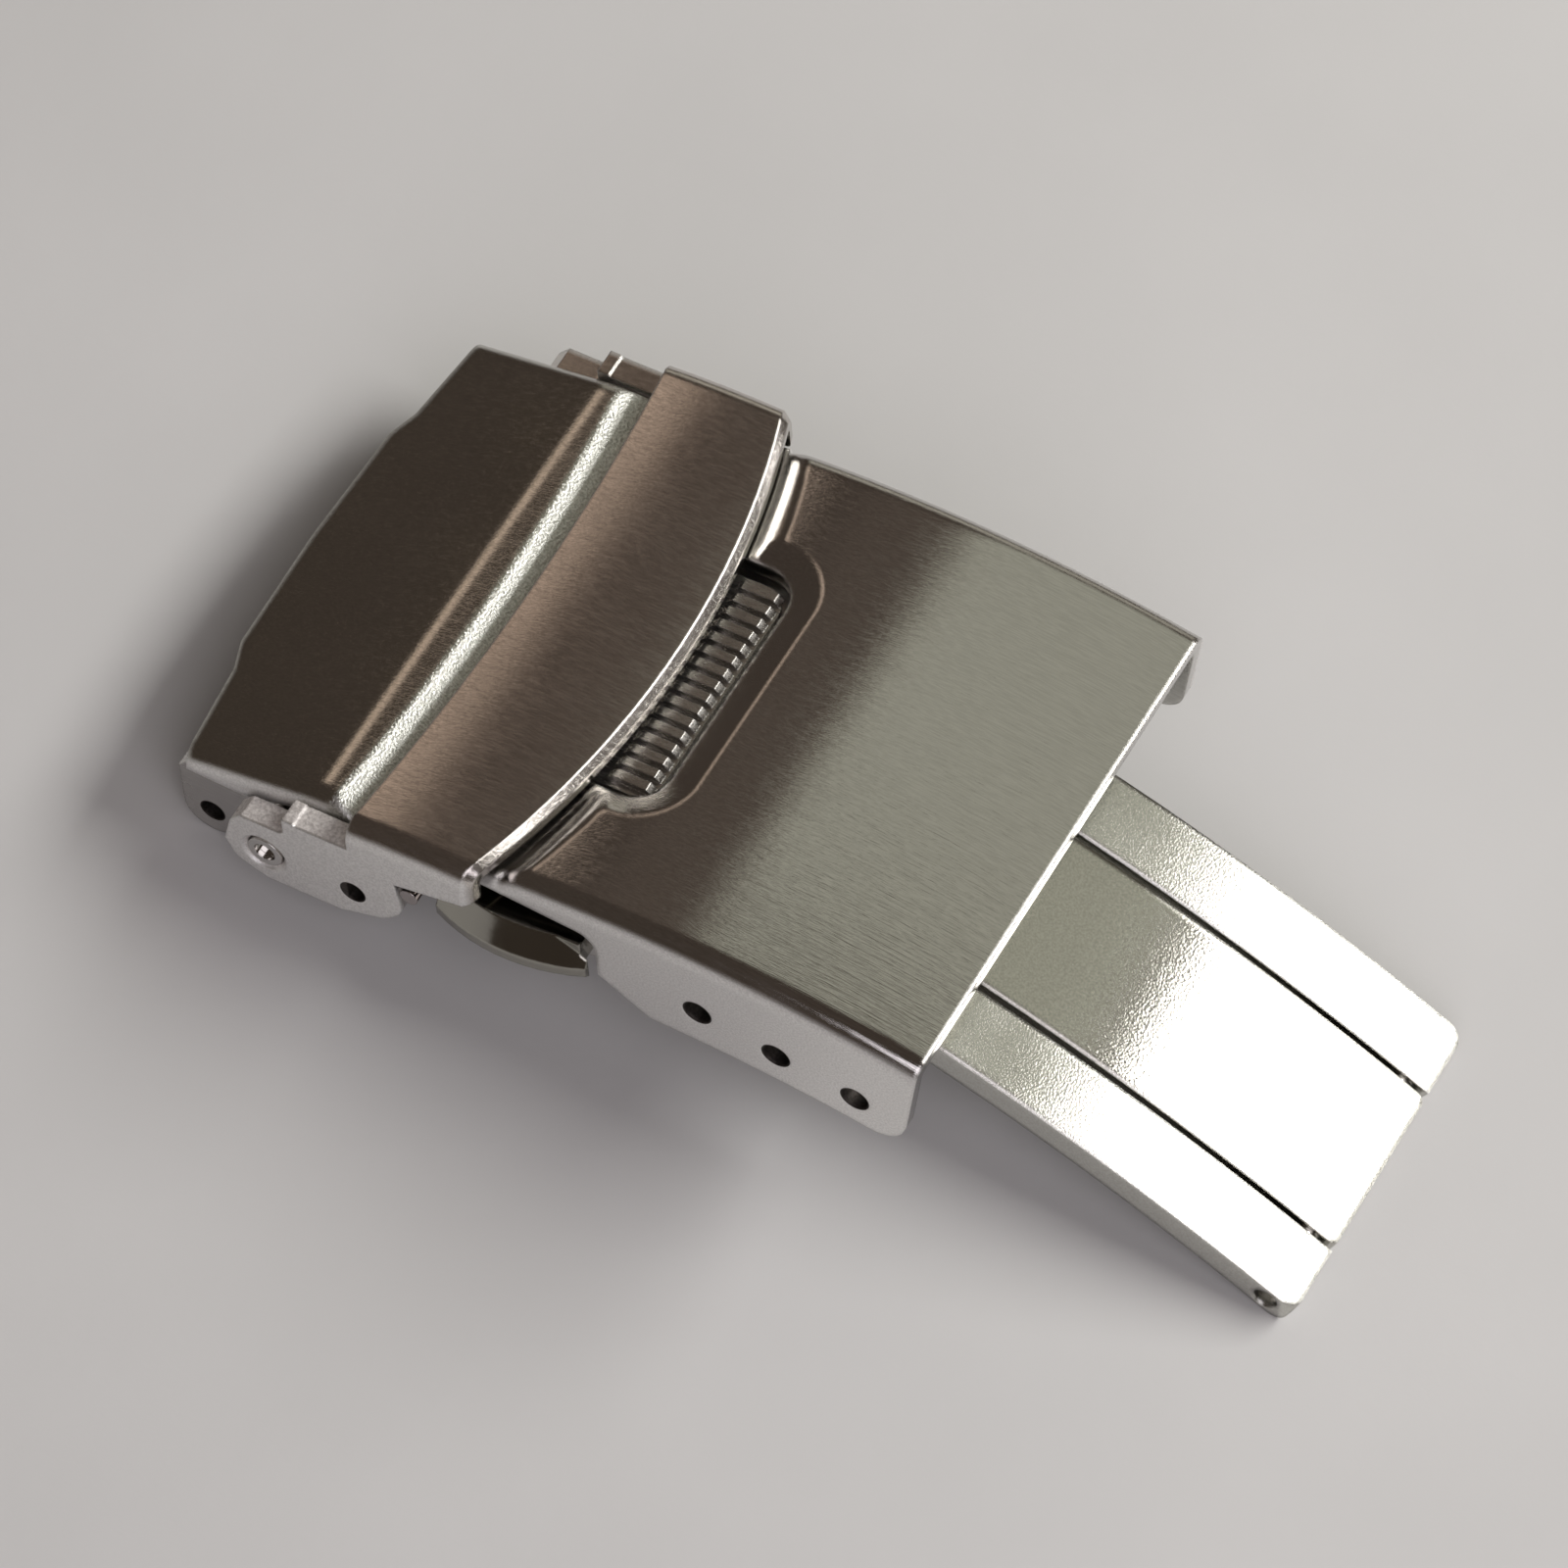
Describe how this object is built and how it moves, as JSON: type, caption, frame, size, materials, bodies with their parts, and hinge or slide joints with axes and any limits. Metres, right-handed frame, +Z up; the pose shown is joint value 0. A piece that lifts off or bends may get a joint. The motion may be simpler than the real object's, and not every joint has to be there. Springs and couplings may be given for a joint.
{
  "type": "deployant clasp",
  "caption": "Fold-over watch bracelet clasp with ribbed safety lock, side push buttons, walled cover with spring bar holes and folding fork blades.",
  "frame": {"origin": "bottom centre of the bounding box, shut, lying on the bracelet lugs and the blade tip", "axes": "+X from the bracelet end to the fold end, +Z up, away from the wrist"},
  "size_m": [0.0416, 0.022, 0.0098],
  "materials": {
    "cover_shell": "brushed steel, polished edges",
    "latch_housing": "plain steel",
    "base_plate_near": "plain steel",
    "base_plate_far": "plain steel",
    "housing_rivets": "plain steel",
    "snap_pins": "plain steel",
    "fork_pivot_pins": "plain steel",
    "button_spring_near": "plain steel",
    "button_spring_far": "plain steel",
    "push_button_near": "polished steel",
    "push_button_far": "polished steel",
    "outer_blade": "bead-blasted steel",
    "inner_blade": "satin steel",
    "end_frame": "plain steel",
    "end_cover": "brushed steel",
    "catch_post": "plain steel",
    "lock_pivot_tube": "plain steel",
    "lock_pivot_pin": "plain steel",
    "fold_hinge_pin": "plain steel",
    "frame_rivets": "plain steel",
    "lock_strap": "brushed steel, polished edges",
    "thumb_grip": "satin steel with polished ribs"
  },
  "bodies": {
    "cover": {"cover_shell": "cover_shell", "latch_housing": "latch_housing", "base_plate_near": "base_plate_near", "base_plate_far": "base_plate_far", "housing_rivets": "housing_rivets", "snap_pins": "snap_pins", "fork_pivot_pins": "fork_pivot_pins", "button_spring_near": "button_spring_near", "button_spring_far": "button_spring_far"},
    "button_near": {"push_button_near": "push_button_near"},
    "button_far": {"push_button_far": "push_button_far"},
    "outer_blade": {"outer_blade": "outer_blade"},
    "inner_blade": {"inner_blade": "inner_blade", "end_frame": "end_frame", "end_cover": "end_cover", "catch_post": "catch_post", "lock_pivot_tube": "lock_pivot_tube", "lock_pivot_pin": "lock_pivot_pin", "fold_hinge_pin": "fold_hinge_pin", "frame_rivets": "frame_rivets"},
    "safety_lock": {"lock_strap": "lock_strap", "thumb_grip": "thumb_grip"}
  },
  "joints": [
    {"name": "fork_pivot", "type": "hinge", "parent": "cover", "child": "outer_blade", "pos_m": [-0.00276, 0, 0.00507], "axis": [0, 1, 0], "range_deg": [0, 155]},
    {"name": "fold_pivot", "type": "hinge", "parent": "outer_blade", "child": "inner_blade", "pos_m": [0.01965, 0, 0.00076], "axis": [0, 1, 0], "range_deg": [-155, 0]},
    {"name": "lock_pivot", "type": "hinge", "parent": "inner_blade", "child": "safety_lock", "pos_m": [-0.01604, 0, 0.0034], "axis": [0, -1, 0], "range_deg": [0, 105]},
    {"name": "press_near", "type": "slide", "parent": "cover", "child": "button_near", "axis": [0, 1, 0], "range_m": [0, 0.0008], "stiffness_N_per_m": 1500, "springref_m": -0.001, "deforming": ["button_spring_near"]},
    {"name": "press_far", "type": "slide", "parent": "cover", "child": "button_far", "axis": [0, -1, 0], "range_m": [0, 0.0008], "stiffness_N_per_m": 1500, "springref_m": -0.001, "deforming": ["button_spring_far"]}
  ],
  "couplings": [
    {"joint": "fold_pivot", "follows": "fork_pivot", "ratio": -1}
  ]
}
